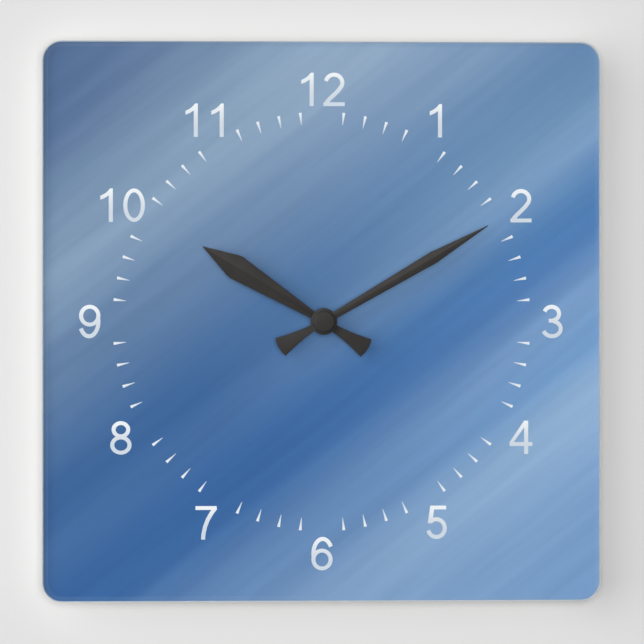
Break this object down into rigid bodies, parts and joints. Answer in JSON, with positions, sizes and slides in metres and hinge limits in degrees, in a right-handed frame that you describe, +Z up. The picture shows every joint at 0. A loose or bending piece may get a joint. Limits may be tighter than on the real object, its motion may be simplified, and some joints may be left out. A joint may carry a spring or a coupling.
{
  "type": "wall clock",
  "caption": "Square frameless acrylic wall clock with a back-printed blue dial, two dark pointed hands and a battery quartz movement that hangs it on a nail.",
  "frame": {"origin": "centre of the hanging hole, on the plane of the wall behind the clock", "axes": "+Z up towards 12 o'clock, -Y out of the dial towards the viewer, +X towards 3 o'clock"},
  "size_m": [0.273, 0.031, 0.273],
  "materials": {
    "acrylic": "polished",
    "artwork": "matte",
    "numeral_ink": "matte",
    "backing": "matte",
    "washer_rubber": "matte",
    "fixing_brass": "satin",
    "hand_black": "satin",
    "case_black": "matte",
    "gear_plastic": "satin",
    "spring_steel": "satin",
    "magnet": "satin",
    "motor_iron": "satin",
    "bobbin_plastic": "satin",
    "copper": "satin",
    "board": "satin",
    "epoxy": "satin",
    "battery_can": "satin",
    "battery_wrap": "gloss"
  },
  "bodies": {
    "clock": {"face_plate": "acrylic", "printed_artwork": "artwork", "numerals": "numeral_ink", "minute_marks": "numeral_ink", "white_backing": "backing", "rubber_washer": "washer_rubber", "brass_washer": "fixing_brass", "hex_nut": "fixing_brass", "threaded_bushing": "fixing_brass", "movement_case": "case_black", "rear_cover": "case_black", "hanger": "case_black", "middle_plate": "gear_plastic", "positive_contact": "spring_steel", "negative_contact": "spring_steel", "quartz_crystal": "spring_steel", "stator": "motor_iron", "coil_core": "motor_iron", "coil_bobbin": "bobbin_plastic", "coil_winding": "copper", "coil_leads": "copper", "circuit_board": "board", "driver_chip": "epoxy"},
    "minute_hand_set": {"minute_hand": "hand_black", "cap_nut": "hand_black", "minute_arbor": "fixing_brass", "centre_wheel": "gear_plastic", "clutch_spring": "spring_steel"},
    "hour_hand_set": {"hour_hand": "hand_black", "hour_hand_bush": "hand_black", "hour_wheel": "gear_plastic"},
    "motion_wheel": {"motion_wheel": "gear_plastic"},
    "setting_knob": {"setting_knob": "case_black"},
    "third_wheel": {"third_wheel": "gear_plastic"},
    "seconds_wheel": {"seconds_wheel": "gear_plastic"},
    "intermediate_wheel": {"intermediate_wheel": "gear_plastic"},
    "rotor": {"rotor_pinion": "gear_plastic", "rotor_magnet": "magnet"},
    "battery": {"battery_cell": "battery_can", "battery_sleeve": "battery_wrap"}
  },
  "joints": [
    {"name": "minute_hand_turn", "type": "hinge", "parent": "clock", "child": "minute_hand_set", "pos_m": [0, -0.028, -0.034], "axis": [0, 1, 0], "continuous": true},
    {"name": "hour_hand_turn", "type": "hinge", "parent": "clock", "child": "hour_hand_set", "pos_m": [0, -0.025, -0.034], "axis": [0, 1, 0], "continuous": true},
    {"name": "motion_wheel_turn", "type": "hinge", "parent": "clock", "child": "motion_wheel", "pos_m": [0.00544, -0.012, -0.03654], "axis": [0, 1, 0], "continuous": true},
    {"name": "setting_knob_turn", "type": "hinge", "parent": "clock", "child": "setting_knob", "pos_m": [0.01144, -0.002, -0.03654], "axis": [0, 1, 0], "continuous": true},
    {"name": "third_wheel_turn", "type": "hinge", "parent": "clock", "child": "third_wheel", "pos_m": [-0.00779, -0.012, -0.0295], "axis": [0, 1, 0], "continuous": true},
    {"name": "seconds_wheel_turn", "type": "hinge", "parent": "clock", "child": "seconds_wheel", "pos_m": [0, -0.012, -0.034], "axis": [0, 1, 0], "continuous": true},
    {"name": "intermediate_wheel_turn", "type": "hinge", "parent": "clock", "child": "intermediate_wheel", "pos_m": [0.00495, -0.012, -0.02905], "axis": [0, 1, 0], "continuous": true},
    {"name": "rotor_turn", "type": "hinge", "parent": "clock", "child": "rotor", "pos_m": [0.0065, -0.012, -0.02325], "axis": [0, 1, 0], "continuous": true},
    {"name": "battery_slide", "type": "slide", "parent": "clock", "child": "battery", "axis": [0, 1, 0], "range_m": [0, 0.016]}
  ],
  "couplings": [
    {"joint": "hour_hand_turn", "follows": "minute_hand_turn", "ratio": 0.083333},
    {"joint": "motion_wheel_turn", "follows": "minute_hand_turn", "ratio": -0.33333},
    {"joint": "setting_knob_turn", "follows": "minute_hand_turn", "ratio": 1},
    {"joint": "third_wheel_turn", "follows": "minute_hand_turn", "ratio": -8},
    {"joint": "seconds_wheel_turn", "follows": "minute_hand_turn", "ratio": 60},
    {"joint": "intermediate_wheel_turn", "follows": "minute_hand_turn", "ratio": -360},
    {"joint": "rotor_turn", "follows": "minute_hand_turn", "ratio": 1800}
  ]
}
